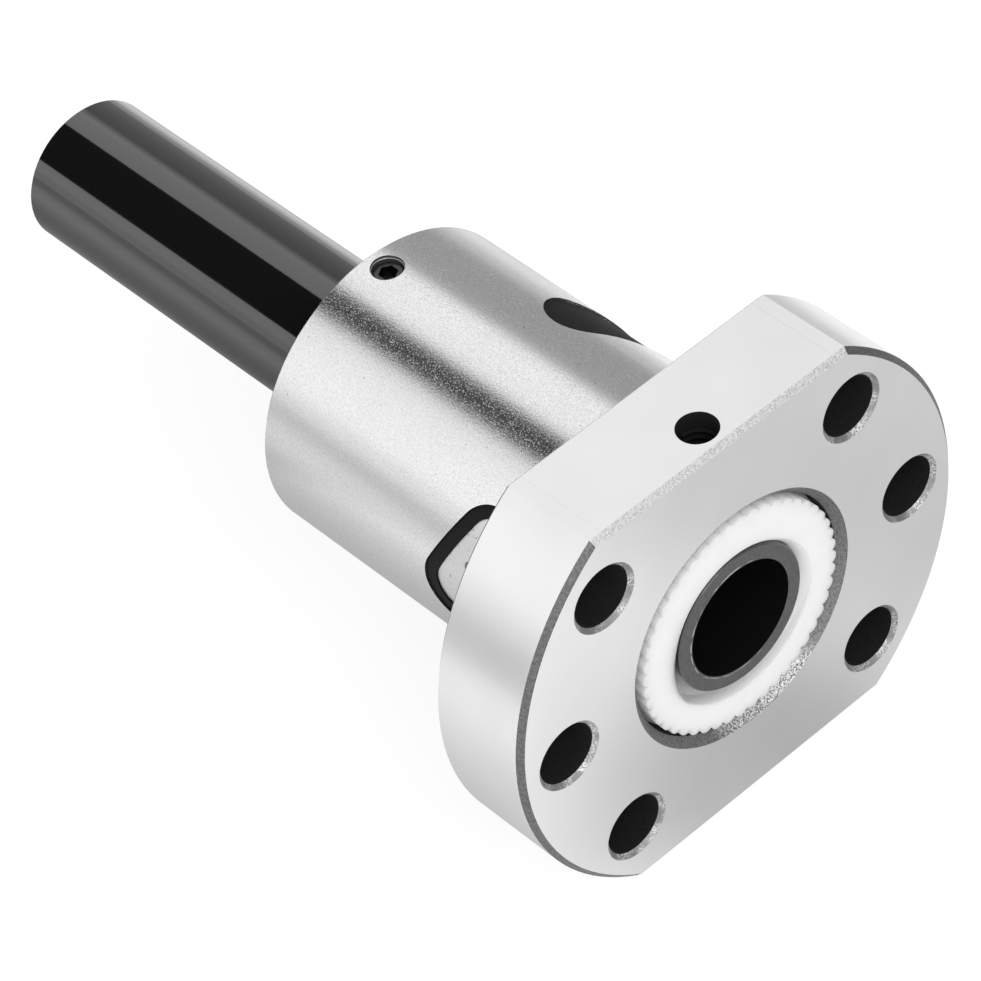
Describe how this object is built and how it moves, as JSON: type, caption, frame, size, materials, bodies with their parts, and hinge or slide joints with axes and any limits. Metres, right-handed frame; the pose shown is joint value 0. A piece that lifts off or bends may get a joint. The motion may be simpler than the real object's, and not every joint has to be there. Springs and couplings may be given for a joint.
{
  "type": "flanged ball screw nut with transport tube",
  "caption": "Round ball screw nut with a flat-sided bolt flange, white wiper rings, ball return inserts and a black transport tube through its bore.",
  "frame": {"origin": "centre of the flange's rear seating face, on the screw axis", "axes": "+X along the screw axis, out of the flange's front face; +Z square to the flange's upper flat; +Y to the side bolt hole"},
  "size_m": [0.0819, 0.048, 0.0394],
  "materials": {
    "ground_steel": "bearing steel, ground and satin",
    "white_nylon": "moulded nylon, satin white",
    "blackened_steel": "black oxide steel",
    "insert_steel": "sintered steel, matt",
    "black_resin": "black sealing resin",
    "black_tube": "extruded black plastic, glossy"
  },
  "bodies": {
    "nut": {"nut_body": "ground_steel", "front_wiper": "white_nylon", "rear_wiper": "white_nylon", "front_wiper_screw": "blackened_steel", "rear_wiper_screw": "blackened_steel", "return_insert_1": "insert_steel", "return_insert_2": "insert_steel", "return_insert_3": "insert_steel", "insert_bond_1": "black_resin", "insert_bond_2": "black_resin", "insert_bond_3": "black_resin"},
    "tube": {"transport_tube": "black_tube"}
  },
  "joints": [
    {"name": "tube_slide", "type": "slide", "parent": "nut", "child": "tube", "axis": [-1, 0, 0], "range_m": [-0.083, 0.043]}
  ]
}
